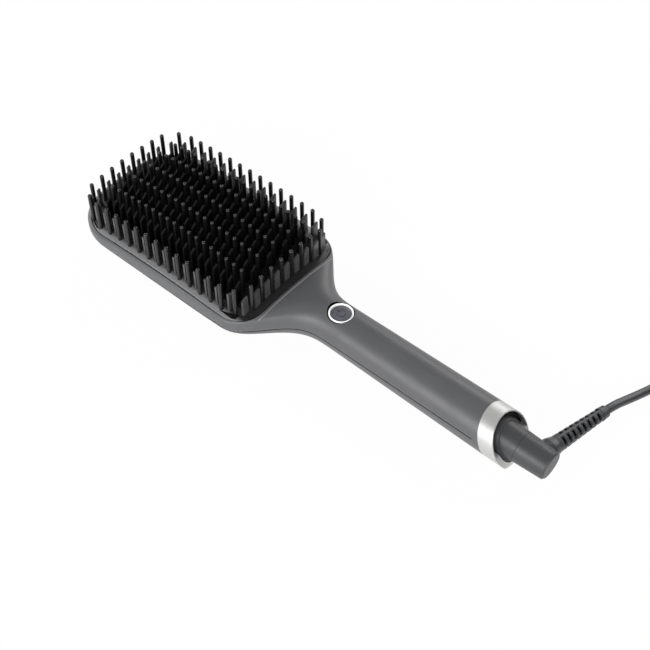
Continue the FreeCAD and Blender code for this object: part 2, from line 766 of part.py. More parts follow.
slip_rings = []
for k in range(2):
    start = rings_end - slip_ring_width - k * (slip_ring_width + slip_ring_gap)
    slip_rings.append(on_handle(along_axis(shaft_radius, start, slip_ring_width).cut(
        along_axis(shaft_radius - slip_ring_height, start, slip_ring_width))))
shapes["slip_rings"] = Part.makeCompound(slip_rings)
clip_groove = 0.7
clip = along_axis(shaft_radius + clip_reach, clip_start, clip_thickness).cut(
    along_axis(shaft_radius - clip_groove, clip_start, clip_thickness))
clip = clip.cut(box(clip_start, clip_start + clip_thickness, -2.2, 2.2, 0, 20))
shapes["retaining_clip"] = on_handle(clip)
barrel = barrel.cut(clip)

# ---- Contact block and springs, which press on the slip rings
block_length = 2 * slip_ring_width + slip_ring_gap + 2.0
inner_wall = handle_radius(block_start) - wall
contact_block = along_axis(inner_wall - 0.2, block_start, block_length).cut(
    along_axis(shaft_radius + 1.3, block_start, block_length)).common(
    box(block_start, block_start + block_length, -50, 50, -50, -1.0))
springs = []
for k in range(2):
    start = rings_end - slip_ring_width - k * (slip_ring_width + slip_ring_gap)
    middle = start + slip_ring_width / 2
    leaf = box(middle - 0.8, middle + 0.8, -3.2, 3.2, -shaft_radius - 0.55, -shaft_radius - 0.15)
    leg = box(middle - 0.8, middle + 0.8, 2.8, 3.2, -shaft_radius - 3.4, -shaft_radius - 0.15)
    springs.append(leaf.fuse(leg).removeSplitter())
shapes["contact_springs"] = Part.makeCompound([on_handle(spring) for spring in springs])
shapes["contact_block"] = on_handle(contact_block.cut(Part.makeCompound(springs)))

# ---- Strain relief and cord
relief_start = handle.multVec(Vector(barrel_end - relief_from_end, 0, relief_lift))
relief_tip = relief_start + relief_reach
relief_length = relief_reach.Length
relief_axis = relief_reach / relief_length
relief_turn = Rotation(Vector(0, 0, 1), relief_axis)
relief_place = Placement(relief_start, relief_turn)
root = barrel_cavity_radius
collar_start = relief_length - relief_collar_length
body = Part.makeCone(relief_root_radius, relief_tip_radius, collar_start - root, Vector(0, 0, root))
flare_base = barrel_end_radius + 0.4
flare = Part.makeCone(flare_radius, relief_root_radius, flare_length, Vector(0, 0, flare_base)).fuse(
    Part.makeCylinder(flare_radius, flare_base - root + 2.0, Vector(0, 0, root - 2.0)))
collar = Part.makeCone(relief_collar_radius, relief_collar_radius - 0.3, relief_collar_length,
                       Vector(0, 0, collar_start))
barrel_outside = on_handle(taper(seam, barrel_end))
barrel_outside.Placement = relief_place.inverse().multiply(barrel_outside.Placement)
relief = body.fuse(flare.cut(barrel_outside)).fuse(collar)
for k in range(relief_slots):
    at = relief_first_slot + relief_slot_pitch * k - relief_slot_width / 2
    share = (at - root) / (collar_start - root)
    radius = relief_root_radius + (relief_tip_radius - relief_root_radius) * share
    half = radius * relief_slot_reach
    for quarter in range(4):
        shift = 0.0 if quarter % 2 else relief_slot_pitch / 2
        if at + shift + relief_slot_width > collar_start:
            continue
        slot = box(radius - relief_slot_depth, radius + 2, -half, half, at + shift,
                   at + shift + relief_slot_width)
        slot.rotate(Vector(0, 0, 0), Vector(0, 0, 1), relief_slot_turn + 90 * quarter)
        relief = relief.cut(slot)
relief = relief.removeSplitter()
relief.Placement = relief_place
shapes["strain_relief"] = relief
shapes["cable_barrel"] = on_handle(barrel.removeSplitter()).cut(relief)
shapes["barrel_cap"] = cap_with_spigot.cut(relief)

coil_height = 2 * cord_radius * coil_layers
coil_inner = coil_mid_radius - cord_radius * coil_layers
coil_outer = coil_mid_radius + cord_radius * coil_layers
turn_radius = coil_outer - cord_radius
table = cord_radius
coil_centre = Vector(relief_tip.x, relief_tip.y, 0) + coil_from_relief


def from_relief(x, y, height):
    """Point of the cord's route; x and y are from the relief's tip, the height from the table."""
    return Vector(relief_tip.x + x, relief_tip.y + y, height)


def coil_point(degrees, radius=turn_radius, height=table):
    turn = math.radians(degrees)
    return coil_centre + Vector(radius * math.cos(turn), radius * math.sin(turn), height)


entry_angle = 150.0
exit_angle = 0.0
lead_in = [relief_tip, relief_tip + relief_axis * 6.5, from_relief(3.5, 16.4, 6.2),
           from_relief(6.3, 26.9, 3.5), from_relief(9.7, 37.9, table), from_relief(14.7, 51.1, table),
           from_relief(20.3, 65.1, table), coil_point(entry_angle)]
shapes["power_cord"] = tube(lead_in, cord_radius, "power_cord").cut(shapes["strain_relief"])

ring_profile = Part.makePolygon([Vector(coil_inner, 0, 0), Vector(coil_outer, 0, 0),
                                 Vector(coil_outer, 0, coil_height), Vector(coil_inner, 0, coil_height),
                                 Vector(coil_inner, 0, 0)])
coil = Part.Face(ring_profile).revolve(Vector(0, 0, 0), Vector(0, 0, 1), 360)
round_edges = [edge for edge in coil.Edges if edge.Curve.TypeId == "Part::GeomCircle"]
coil = coil.makeFillet(cord_radius * 0.9, round_edges)
coil.translate(coil_centre)
coil = coil.cut(shapes["power_cord"])

tail_way = math.radians(exit_angle - 90)
top_turn = coil_height - cord_radius
tail_start = coil_point(exit_angle, height=top_turn)
tail_step = Vector(math.cos(tail_way), math.sin(tail_way), 0)
tail_drop = top_turn - plug_thickness / 2
plug_inlet = tail_start + tail_step * tail_length - Vector(0, 0, tail_drop)
tail = [tail_start, tail_start + tail_step * (0.29 * tail_length) + Vector(1.0, 0, -0.06 * tail_drop),
        tail_start + tail_step * (0.68 * tail_length) + Vector(0.8, 0, -0.85 * tail_drop), plug_inlet]
shapes["cord_tail"] = tube(tail, cord_radius, "cord_tail")
coil = coil.cut(shapes["cord_tail"])
shapes["cord_coil"] = coil

tie_angle = 60.0
tie_outer = box(coil_inner - tie_thickness, coil_outer + tie_thickness, -tie_width / 2, tie_width / 2,
                0, coil_height + tie_thickness)
tie = tie_outer.cut(box(coil_inner, coil_outer, -tie_width, tie_width, -1, coil_height))
tie.rotate(Vector(0, 0, 0), Vector(0, 0, 1), tie_angle)
tie.translate(coil_centre)
shapes["cord_tie"] = tie.cut(coil)

plug_way = tail[-1].sub(tail[-2])
plug_way.z = 0
plug_way.normalize()
plug_place = Placement(Vector(plug_inlet.x, plug_inlet.y, 0),
                       Rotation(Vector(0, 0, 1), math.degrees(math.atan2(plug_way.y, plug_way.x))))
half_thick = plug_thickness / 2
grip = Part.makeCone(4.0, half_thick - 0.5, plug_length * 0.4, Vector(0, 0, half_thick), Vector(1, 0, 0))
face_block = box(plug_length * 0.4, plug_length, -plug_width / 2 + 4, plug_width / 2 - 4, 0, plug_thickness)
plug = grip.fuse(face_block)
plug_pins = []
for side in (-1, 1):
    face = Vector(plug_length, side * pin_spacing / 2, half_thick)
    tip = face + Vector(plug_pin_length - plug_pin_radius, 0, 0)
    anchor = rod(pin_anchor_radius, face - Vector(pin_anchor_length, 0, 0), face)
    plug_pins.append(rod(plug_pin_radius, face, tip).fuse(Part.makeSphere(plug_pin_radius, tip)).fuse(anchor))
plug = plug.cut(Part.makeCompound(plug_pins)).removeSplitter()
plug.Placement = plug_place
shapes["plug_body"] = plug.cut(shapes["cord_tail"])
pins = Part.makeCompound(plug_pins)
pins.Placement = plug_place
shapes["plug_pins"] = pins

# ---- Leads inside the brush
def handle_point(x, y, z):
    return handle.multVec(Vector(x, y, z))


heater_tab = head_x + heater_length / 2
lead_height = (heater_bottom + plate_bottom) / 2
board_middle = board_top - board_thickness / 2
clear_of_clamp = head_x + clamp_length / 2 + 2


def lead_to_board(start, across, radius):
    """Lead that leaves the heating stack level, clears the clamp and drops to the board's end."""
    level = Vector(clear_of_clamp - 8, start.y, start.z)
    over_clamp = Vector(clear_of_clamp, start.y, start.z - 0.5)
    under_seat = Vector(clear_of_clamp + 14, (start.y + across) / 2, start.z - 3)
    near_board = handle_point(board_start - 8, across, board_middle)
    return tube([start, level, over_clamp, under_seat, near_board,
                 handle_point(board_start, across, board_middle)], radius)


shapes["heater_leads"] = Part.makeCompound([
    lead_to_board(Vector(heater_tab, side * heater_offset, lead_height), side * 5.5, lead_radius)
    for side in (-1, 1)])
shapes["sensor_leads"] = Part.makeCompound([
    lead_to_board(Vector(head_x + sensor_length / 2, side * 1.2, lead_height), side * 1.8, thin_lead_radius)
    for side in (-1, 1)])

contact_height = -(shaft_radius + inner_wall) / 2
mains_leads = []
for side in (-1, 1):
    across = side * lead_spread
    mains_leads.append(tube([handle_point(board_end, across, board_middle),
                             handle_point(board_end + 2, across, board_middle),
                             handle_point(block_start - 2, across, contact_height),
                             handle_point(block_start, across, contact_height)], lead_radius))
shapes["mains_leads"] = Part.makeCompound(mains_leads)

barrel_leads = []
for side in (-1, 1):
    start = handle_point(shaft_start, side * 1.1, 0)
    corner = handle_point(barrel_end - 9.5 + side * 1.1, side * 1.1, 0)
    way_out = relief_start + relief_axis * root + Vector(side * 1.1, 0, 0)
    barrel_leads.append(tube([start, corner, way_out], thin_lead_radius))
shapes["barrel_leads"] = Part.makeCompound(barrel_leads).cut(shapes["cable_barrel"]).cut(relief)

for name, shape in shapes.items():
    shape.exportStep("parts/" + name + ".step")
print(len(shapes), "nodes")
for name, shape in shapes.items():
    box_now = shape.BoundBox
    print("%-24s solids %2d valid %s  x %7.1f %7.1f  y %6.1f %6.1f  z %5.1f %5.1f  vol %9.1f" % (
        name, len(shape.Solids), shape.isValid(), box_now.XMin, box_now.XMax, box_now.YMin,
        box_now.YMax, box_now.ZMin, box_now.ZMax, shape.Volume))
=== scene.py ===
import json
import math

import bpy
import numpy as np
from mathutils import Matrix, Vector
from mathutils.bvhtree import BVHTree


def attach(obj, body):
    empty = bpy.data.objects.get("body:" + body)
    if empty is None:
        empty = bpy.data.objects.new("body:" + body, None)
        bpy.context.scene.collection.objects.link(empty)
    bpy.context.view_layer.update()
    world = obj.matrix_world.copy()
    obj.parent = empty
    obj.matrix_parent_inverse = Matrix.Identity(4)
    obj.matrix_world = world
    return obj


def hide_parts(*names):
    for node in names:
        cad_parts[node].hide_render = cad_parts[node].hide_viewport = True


mm = 0.001
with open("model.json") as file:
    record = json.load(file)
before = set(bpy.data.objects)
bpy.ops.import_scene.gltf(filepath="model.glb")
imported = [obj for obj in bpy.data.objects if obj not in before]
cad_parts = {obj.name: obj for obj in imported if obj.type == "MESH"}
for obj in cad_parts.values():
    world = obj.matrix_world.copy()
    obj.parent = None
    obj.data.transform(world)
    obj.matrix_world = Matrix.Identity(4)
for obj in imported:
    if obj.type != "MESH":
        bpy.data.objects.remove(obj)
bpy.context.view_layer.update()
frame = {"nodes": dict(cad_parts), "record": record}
cadNodes = frame["nodes"]
print("frame:", len(cadNodes), "pieces from the construction model")


# Stage, camera and lamps

stage = {
    "floorSize": 6.0,
    "floorColor": (0.9, 0.9, 0.9, 1),
    "floorRoughness": 0.9,
    "whiteShare": 0.97,         # how much of the floor's look is plain white
    "skyStrength": 0.55,
    "skyTop": (0.10, 0.10, 0.105, 1),
    "skySide": (1.0, 1.0, 1.0, 1),
    "skySideEnds": 0.1,         # upward share of the way where the wall starts to darken, and where it stops
    "skyTopStarts": 0.75,
}

camera = {
    "place": (0.27475, -0.31388, 0.48794),
    "right": (0.7587, 0.6514, 0.0),
    "up": (-0.4929, 0.5741, 0.6537),
    "lens": 67.49,
    "sensor": 36.0,
}

lamps = [
    {
        "name": "frontSoftbox",
        "place": (0.1, -1.3, 0.55),
        "aim": (0, 0, 0.02),
        "size": (1.6, 0.7),
        "watts": 22,
    },
    {
        "name": "overheadSoftbox",
        "place": (0.2, 0.2, 1.5),
        "aim": (0, 0, 0),
        "size": (1.4, 1.4),
        "watts": 4,
    },
    {
        "name": "farSoftbox",
        "place": (0.1, 1.3, 0.7),
        "aim": (0, 0, 0.02),
        "size": (1.6, 0.6),
        "watts": 12,
    },
    {
        "name": "tailSoftbox",
        "place": (1.2, -0.5, 0.35),
        "aim": (-0.05, 0, 0.03),
        "size": (0.6, 0.6),
        "watts": 6,
    },
    {
        "name": "headSoftbox",
        "place": (-1.3, -0.1, 0.5),
        "aim": (-0.05, 0, 0.02),
        "size": (0.9, 0.9),
        "watts": 8,
    },
]


def rayIs(tree, kinds):
    # largest of the named light path outputs
    path = tree.nodes.new("ShaderNodeLightPath")
    value = path.outputs[kinds[0]]
    for kind in kinds[1:]:
        larger = tree.nodes.new("ShaderNodeMath")
        larger.operation = "MAXIMUM"
        tree.links.new(value, larger.inputs[0])
        tree.links.new(path.outputs[kind], larger.inputs[1])
        value = larger.outputs[0]
    return value


def buildFloor():
    half = stage["floorSize"] / 2
    corners = [(-half, -half, 0), (half, -half, 0), (half, half, 0), (-half, half, 0)]
    mesh = bpy.data.meshes.new("floor")
    mesh.from_pydata(corners, [], [(0, 1, 2, 3)])
    floor = bpy.data.objects.new("floor", mesh)
    bpy.context.scene.collection.objects.link(floor)
    material = bpy.data.materials.new("floorPaper")
    material.use_nodes = True
    tree = material.node_tree
    paper = tree.nodes["Principled BSDF"]
    paper.inputs["Base Color"].default_value = stage["floorColor"]
    paper.inputs["Roughness"].default_value = stage["floorRoughness"]
    white = tree.nodes.new("ShaderNodeEmission")
    share = tree.nodes.new("ShaderNodeMath")
    share.operation = "MULTIPLY"
    share.inputs[1].default_value = stage["whiteShare"]
    tree.links.new(rayIs(tree, ["Is Camera Ray", "Is Glossy Ray", "Is Transmission Ray"]), share.inputs[0])
    mix = tree.nodes.new("ShaderNodeMixShader")
    tree.links.new(share.outputs[0], mix.inputs[0])
    tree.links.new(paper.outputs[0], mix.inputs[1])
    tree.links.new(white.outputs[0], mix.inputs[2])
    tree.links.new(mix.outputs[0], tree.nodes["Material Output"].inputs["Surface"])
    mesh.materials.append(material)


def buildSky():
    # white to the camera; for light, a pale wall that darkens overhead
    world = bpy.data.worlds.new("studio")
    bpy.context.scene.world = world
    world.use_nodes = True
    tree = world.node_tree
    tree.nodes.clear()
    spot = tree.nodes.new("ShaderNodeTexCoord")
    split = tree.nodes.new("ShaderNodeSeparateXYZ")
    tree.links.new(spot.outputs["Generated"], split.inputs[0])
    ramp = tree.nodes.new("ShaderNodeValToRGB")
    ramp.color_ramp.elements[0].position = stage["skySideEnds"]
    ramp.color_ramp.elements[0].color = stage["skySide"]
    ramp.color_ramp.elements[1].position = stage["skyTopStarts"]
    ramp.color_ramp.elements[1].color = stage["skyTop"]
    tree.links.new(split.outputs["Z"], ramp.inputs[0])
    wall = tree.nodes.new("ShaderNodeBackground")
    wall.inputs["Strength"].default_value = stage["skyStrength"]
    tree.links.new(ramp.outputs[0], wall.inputs["Color"])
    white = tree.nodes.new("ShaderNodeBackground")
    white.inputs["Color"].default_value = (1, 1, 1, 1)
    mix = tree.nodes.new("ShaderNodeMixShader")
    tree.links.new(rayIs(tree, ["Is Camera Ray"]), mix.inputs[0])
    tree.links.new(wall.outputs[0], mix.inputs[1])
    tree.links.new(white.outputs[0], mix.inputs[2])
    output = tree.nodes.new("ShaderNodeOutputWorld")
    tree.links.new(mix.outputs[0], output.inputs["Surface"])


def aimAt(place, target):
    return (Vector(target) - Vector(place)).to_track_quat("-Z", "Y").to_matrix().to_4x4()


def buildLamps():
    for plan in lamps:
        light = bpy.data.lights.new(plan["name"], "AREA")
        light.shape = "RECTANGLE"
        light.size, light.size_y = plan["size"]
        light.energy = plan["watts"]
        lamp = bpy.data.objects.new(plan["name"], light)
        lamp.matrix_world = Matrix.Translation(plan["place"]) @ aimAt(plan["place"], plan["aim"])
        bpy.context.scene.collection.objects.link(lamp)


def buildCamera():
    data = bpy.data.cameras.new("camera")
    data.lens = camera["lens"]
    data.sensor_width = camera["sensor"]
    right, up = Vector(camera["right"]), Vector(camera["up"])
    turn = Matrix((right, up, right.cross(up))).transposed().to_4x4()
    lookout = bpy.data.objects.new("camera", data)
    lookout.matrix_world = Matrix.Translation(camera["place"]) @ turn
    bpy.context.scene.collection.objects.link(lookout)
    bpy.context.scene.camera = lookout


buildFloor()
buildSky()
buildLamps()
buildCamera()
bpy.context.scene.view_settings.view_transform = "Standard"
print("stage: floor, sky, lamps and camera")


# Finishes

def newFinish(name, color, roughness, metallic=0.0, specular=0.5):
    finish = bpy.data.materials.new(name)
    finish.use_nodes = True
    shader = finish.node_tree.nodes["Principled BSDF"]
    shader.inputs["Base Color"].default_value = (*color, 1)
    shader.inputs["Roughness"].default_value = roughness
    shader.inputs["Metallic"].default_value = metallic
    shader.inputs["Specular IOR Level"].default_value = specular
    return finish


noise = {
    "detail": 4.0,
    "low": 0.35,                # the part of the noise that a tint or a sheen spreads over
    "high": 0.65,
    "grainStrength": 0.35,
}


def speckle(finish, scale):
    # noise on the piece's own coordinates, in metres
    tree = finish.node_tree
    spot = tree.nodes.new("ShaderNodeTexCoord")
    grains = tree.nodes.new("ShaderNodeTexNoise")
    grains.inputs["Scale"].default_value = scale
    grains.inputs["Detail"].default_value = noise["detail"]
    tree.links.new(spot.outputs["Object"], grains.inputs["Vector"])
    return grains.outputs["Fac"]


def addGrain(finish, scale, depth):
    # fine bumps, depth in metres
    tree = finish.node_tree
    bump = tree.nodes.new("ShaderNodeBump")
    bump.inputs["Strength"].default_value = noise["grainStrength"]
    bump.inputs["Distance"].default_value = depth
    tree.links.new(speckle(finish, scale), bump.inputs["Height"])
    tree.links.new(bump.outputs["Normal"], tree.nodes["Principled BSDF"].inputs["Normal"])


def addTint(finish, scale, low, high):
    # colour wanders between two shades
    tree = finish.node_tree
    ramp = tree.nodes.new("ShaderNodeValToRGB")
    ramp.color_ramp.elements[0].position = noise["low"]
    ramp.color_ramp.elements[0].color = (*low, 1)
    ramp.color_ramp.elements[1].position = noise["high"]
    ramp.color_ramp.elements[1].color = (*high, 1)
    tree.links.new(speckle(finish, scale), ramp.inputs[0])
    tree.links.new(ramp.outputs[0], tree.nodes["Principled BSDF"].inputs["Base Color"])


def addPaintedSideLight(finish, inner, outer, middle, sides):
    # painted light: one colour near the plane that halves the piece, another past a distance from it, in
    # metres
    tree = finish.node_tree
    spot = tree.nodes.new("ShaderNodeTexCoord")
    split = tree.nodes.new("ShaderNodeSeparateXYZ")
    away = tree.nodes.new("ShaderNodeMath")
    away.operation = "ABSOLUTE"
    spread = tree.nodes.new("ShaderNodeMapRange")
    spread.inputs["From Min"].default_value = inner
    spread.inputs["From Max"].default_value = outer
    ramp = tree.nodes.new("ShaderNodeValToRGB")
    ramp.color_ramp.elements[0].color = (*middle, 1)
    ramp.color_ramp.elements[1].color = (*sides, 1)
    tree.links.new(spot.outputs["Object"], split.inputs[0])
    tree.links.new(split.outputs["Y"], away.inputs[0])
    tree.links.new(away.outputs[0], spread.inputs["Value"])
    tree.links.new(spread.outputs["Result"], ramp.inputs[0])
    tree.links.new(ramp.outputs[0], tree.nodes["Principled BSDF"].inputs["Base Color"])


def addSheenSpread(finish, scale, low, high):
    # roughness wanders between two values
    tree = finish.node_tree
    spread = tree.nodes.new("ShaderNodeMapRange")
    spread.inputs["From Min"].default_value = noise["low"]
    spread.inputs["From Max"].default_value = noise["high"]
    spread.inputs["To Min"].default_value = low
    spread.inputs["To Max"].default_value = high
    tree.links.new(speckle(finish, scale), spread.inputs["Value"])
    tree.links.new(spread.outputs["Result"], tree.nodes["Principled BSDF"].inputs["Roughness"])


def addGlow(finish, strength):
    shader = finish.node_tree.nodes["Principled BSDF"]
    shader.inputs["Emission Color"].default_value = (1, 1, 1, 1)
    shader.inputs["Emission Strength"].default_value = strength


# Base holds newFinish's arguments and the other keys those of the add functions
finishPlans = {
    "shell": {
        "base": ("charcoalShell", (0.085, 0.086, 0.09), 0.42),
        "tint": (60, (0.083, 0.084, 0.088), (0.088, 0.089, 0.093)),
        "sheen": (90, 0.40, 0.45),
        "grain": (2600, 0.00002),
    },
    # Painted highlight: a lighter shell colour for the bright lines along the parting line and on the neck
    # bead
    "painted_highlight_edge": {
        "base": ("paintedHighlightShell", (0.16, 0.161, 0.165), 0.35),
        "sheen": (90, 0.32, 0.38),
    },
    # Painted light on the ledge: near-black across the ends is a painted shade, light grey along the sides a
    # painted reflection
    "bristle_bed": {
        "base": ("ledgePaintedLight", (0.055, 0.055, 0.058), 0.35),
        "paintedSideLight": (0.0335, 0.0365, (0.009, 0.009, 0.01), (0.22, 0.221, 0.225)),
        "sheen": (120, 0.32, 0.38),
        "grain": (3000, 0.00002),
    },
    "bristles": {
        "base": ("blackNylon", (0.006, 0.006, 0.0065), 0.25),
        "tint": (300, (0.005, 0.005, 0.0055), (0.008, 0.008, 0.0085)),
        "grain": (4000, 0.00002),
    },
    "fin_nylon": {
        "base": ("finNylon", (0.055, 0.055, 0.056), 0.28),
        "tint": (300, (0.045, 0.045, 0.046), (0.065, 0.065, 0.066)),
        "grain": (3000, 0.00002),
    },
    "coated_plate": {
        "base": ("coatedPlate", (0.003, 0.003, 0.0032), 0.5, 0.0, 0.15),
        "sheen": (200, 0.45, 0.55),
        "grain": (5000, 0.00002),
    },
    "light_diffuser": {
        "base": ("litDiffuser", (0.92, 0.92, 0.92), 0.25),
        "sheen": (300, 0.22, 0.3),
        "glow": (0.2,),
    },
    "button_cap": {
        "base": ("capGrey", (0.10, 0.10, 0.12), 0.3),
        "sheen": (400, 0.26, 0.34),
        "grain": (5000, 0.00001),
    },
    "symbol_ink": {
        "base": ("symbolInk", (0.03, 0.03, 0.036), 0.4),
        "sheen": (400, 0.36, 0.44),
    },
    "switch_parts": {
        "base": ("partCase", (0.02, 0.02, 0.022), 0.5),
        "grain": (3000, 0.00003),
    },
    "polished_ring": {
        "base": ("polishedPlating", (0.53, 0.53, 0.52), 0.5, 0.75),
        "sheen": (80, 0.47, 0.53),
    },
    "socket_plastic": {
        "base": ("socketBlack", (0.003, 0.003, 0.0032), 0.5, 0.0, 0.25),
        "grain": (4000, 0.00002),
    },
    # Painted shade: near-black finish for sheets put where only shade falls (button recess, parting line
    # shadow, strain relief slots)
    "painted_shade_black": {
        "base": ("paintedShadeBlack", (0.0012, 0.0012, 0.0012), 0.8, 0.0, 0.1),
        "sheen": (200, 0.75, 0.85),
    },
    "swivel_plastic": {
        "base": ("swivelGrey", (0.04, 0.041, 0.043), 0.48),
        "sheen": (150, 0.42, 0.48),
        "grain": (3000, 0.00002),
    },
    "cord_rubber": {
        "base": ("cordSkin", (0.036, 0.037, 0.04), 0.38),
        "tint": (150, (0.034, 0.035, 0.038), (0.039, 0.04, 0.043)),
        "grain": (2500, 0.000006),
    },
    "plated_pins": {
        "base": ("platedBrass", (0.78, 0.76, 0.70), 0.25, 1.0),
        "sheen": (200, 0.2, 0.32),
    },
    "steel_fasteners": {
        "base": ("zincSteel", (0.6, 0.6, 0.6), 0.35, 1.0),
        "sheen": (300, 0.3, 0.42),
    },
    "heater_ceramic": {
        "base": ("whiteCeramic", (0.8, 0.78, 0.72), 0.6),
        "grain": (1500, 0.00004),
    },
    "insulation_film": {
        "base": ("amberFilm", (0.6, 0.3, 0.05), 0.3),
        "sheen": (200, 0.25, 0.4),
    },
    "circuit_board": {
        "base": ("solderMask", (0.01, 0.12, 0.04), 0.35),
        "tint": (700, (0.008, 0.10, 0.03), (0.012, 0.14, 0.05)),
    },
    "contact_brass": {
        "base": ("plainBrass", (0.75, 0.55, 0.25), 0.35, 1.0),
        "sheen": (300, 0.3, 0.42),
    },
    "contact_plastic": {
        "base": ("naturalPlastic", (0.75, 0.74, 0.68), 0.5),
        "grain": (2500, 0.00003),
    },
    "lead_sleeves": {
        "base": ("leadSleeve", (0.25, 0.05, 0.03), 0.45),
        "tint": (200, (0.23, 0.045, 0.028), (0.27, 0.055, 0.032)),
    },
}

# Record slots that share another slot's finish
sharedFinishes = {
    "heat_blades": "coated_plate",
    "tie_rubber": "socket_plastic",
    "clamp_aluminium": "steel_fasteners",
    "board_parts": "switch_parts",
    "led_lens": "light_diffuser",
}

additions = {
    "tint": addTint,
    "paintedSideLight": addPaintedSideLight,
    "sheen": addSheenSpread,
    "grain": addGrain,
    "glow": addGlow,
}


def buildFinish(plan):
    finish = newFinish(*plan["base"])
    for kind, add in additions.items():
        if kind in plan:
            add(finish, *plan[kind])
    return finish


finishes = {slot: buildFinish(plan) for slot, plan in finishPlans.items()}
finishes.update({slot: finishes[other] for slot, other in sharedFinishes.items()})


def dressCadNodes():
    slots = {part["node"]: part["material_slot"] for part in frame["record"]["subparts"]}
    for name, node in cadNodes.items():
        node.data.materials.clear()
        node.data.materials.append(finishes[slots[name]])


dressCadNodes()
print("finishes:", len(finishes))


# Helpers for new pieces

def addPiece(name, data, body, *looks):
    piece = bpy.data.objects.new(name, data)
    for look in looks:
        data.materials.append(look)
    bpy.context.scene.collection.objects.link(piece)
    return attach(piece, body)


def gridFaces(rows, columns, closed=False):
    # quads of a row-by-column sheet of points; closed joins the last column to the first
    r, c = np.meshgrid(np.arange(rows - 1), np.arange(columns if closed else columns - 1), indexing="ij")
    after = (c + 1) % columns
    row, nextRow = r * columns, (r + 1) * columns
    quads = np.stack([row + c, row + after, nextRow + after, nextRow + c], -1)
    return quads.reshape(-1, 4)


def sheetMesh(name, points, closed=False):
    # points is rows x columns x 3, in metres
    rows, columns = points.shape[:2]
    mesh = bpy.data.meshes.new(name)
    mesh.from_pydata(points.reshape(-1, 3).tolist(), [], gridFaces(rows, columns, closed).tolist())
    mesh.shade_smooth()
    return mesh


def skinOf(*nodes):
    # search tree over the skins of CAD nodes, for dropping points on to them
    points, faces = [], []
    for name in nodes:
        mesh = cadNodes[name].data
        start = len(points)
        points += [vertex.co.copy() for vertex in mesh.vertices]
        faces += [[start + index for index in face.vertices] for face in mesh.polygons]
    return BVHTree.FromPolygons(points, faces)


# Handle's own axes: its line falls towards the cord end

handle = {
    "axisHeight": 15.994,
    "fall": 0.02,
    "neckRadius": 11.85,
    "endRadius": 13.35,
    "neckX": -12.35,
    "endX": 112.57,
}


def onHandle(along, across, up):
    # handle's own axes to the frame, millimetres to metres
    tilt = math.atan(handle["fall"])
    x = along * math.cos(tilt) + up * math.sin(tilt)
    z = handle["axisHeight"] - along * math.sin(tilt) + up * math.cos(tilt)
    return np.stack(np.broadcast_arrays(x, across, z), -1) * mm


def handleRadius(along):
    share = (along - handle["neckX"]) / (handle["endX"] - handle["neckX"])
    return handle["neckRadius"] + (handle["endRadius"] - handle["neckRadius"]) * share


# Power button: domed cap with a sunk symbol, and a black sheet in the recess round the light ring, a painted
# shade

button = {
    "along": 15.75,
    "sink": 1.3,                # cap's crown under the handle's skin
    "radius": 5.5,
    "thickness": 2.4,
    "domeRadius": 27.5,
    "edgeRound": 0.35,
    "edgeSteps": 6,
    "symbolRadius": 2.35,
    "symbolLine": 0.5,
    "symbolDepth": 0.16,
    "symbolSoft": 0.12,         # how wide its walls are
    "symbolGap": 38.0,          # degrees left open each side of the bar
    "barReach": (0.9, 3.1),
    "turns": 120,
    "rings": 56,
}

# Painted shade: black sheet lining the recess round the light ring
recessShade = {
    "inner": 6.53,
    "outer": 7.17,
    "depth": 0.55,
    "lip": 0.08,
    "turns": 96,
}


def symbolShare(radius, turn):
    # 1 inside the broken circle and its bar, 0 outside, with soft walls
    soft = button["symbolSoft"]
    half = button["symbolLine"] / 2
    openHalf = math.radians(button["symbolGap"])
    away = np.abs((turn + np.pi) % (2 * np.pi) - np.pi)
    arc = np.clip((half - np.abs(radius - button["symbolRadius"])) / soft + 0.5, 0, 1)
    arc = arc * np.clip((away - openHalf) * button["symbolRadius"] / soft, 0, 1)
    low, high = button["barReach"]
    middle = (low + high) / 2
    bar = np.clip((half - np.abs(radius * np.sin(turn))) / soft + 0.5, 0, 1)
    bar = bar * np.clip(((high - low) / 2 - np.abs(radius * np.cos(turn) - middle)) / soft + 0.5, 0, 1)
    return np.maximum(arc, bar)


def buildButton():
    top = handleRadius(button["along"]) - button["sink"]
    face = button["radius"] - button["edgeRound"]
    radii = np.linspace(0, face, button["rings"])
    bend = np.linspace(0, np.pi / 2, button["edgeSteps"])[1:]
    rimRadii = face + button["edgeRound"] * np.sin(bend)
    crown = top - button["domeRadius"] + np.sqrt(button["domeRadius"] ** 2 - radii ** 2)
    rimHeights = crown[-1] - button["edgeRound"] * (1 - np.cos(bend))
    foot = top - button["thickness"]
    allRadii = np.concatenate([radii, rimRadii, [button["radius"], 0.0]])
    heights = np.concatenate([crown, rimHeights, [foot, foot]])
    turn = np.linspace(0, 2 * np.pi, button["turns"], endpoint=False)
    radius, angle = np.meshgrid(allRadii, turn, indexing="ij")
    mark = symbolShare(radius, angle)
    mark[button["rings"]:] = 0
    height = heights[:, None] - button["symbolDepth"] * mark
    points = onHandle(button["along"] - radius * np.cos(angle), radius * np.sin(angle), height)
    mesh = sheetMesh("powerButtonFace", points, closed=True)
    piece = addPiece("powerButtonFace", mesh, "power_button", finishes["button_cap"], finishes["symbol_ink"])
    inked = (mark[:-1] > 0.5) & (mark[1:] > 0.5)
    mesh.polygons.foreach_set("material_index", inked.reshape(-1).astype(np.int32))
    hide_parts("power_button_cap")


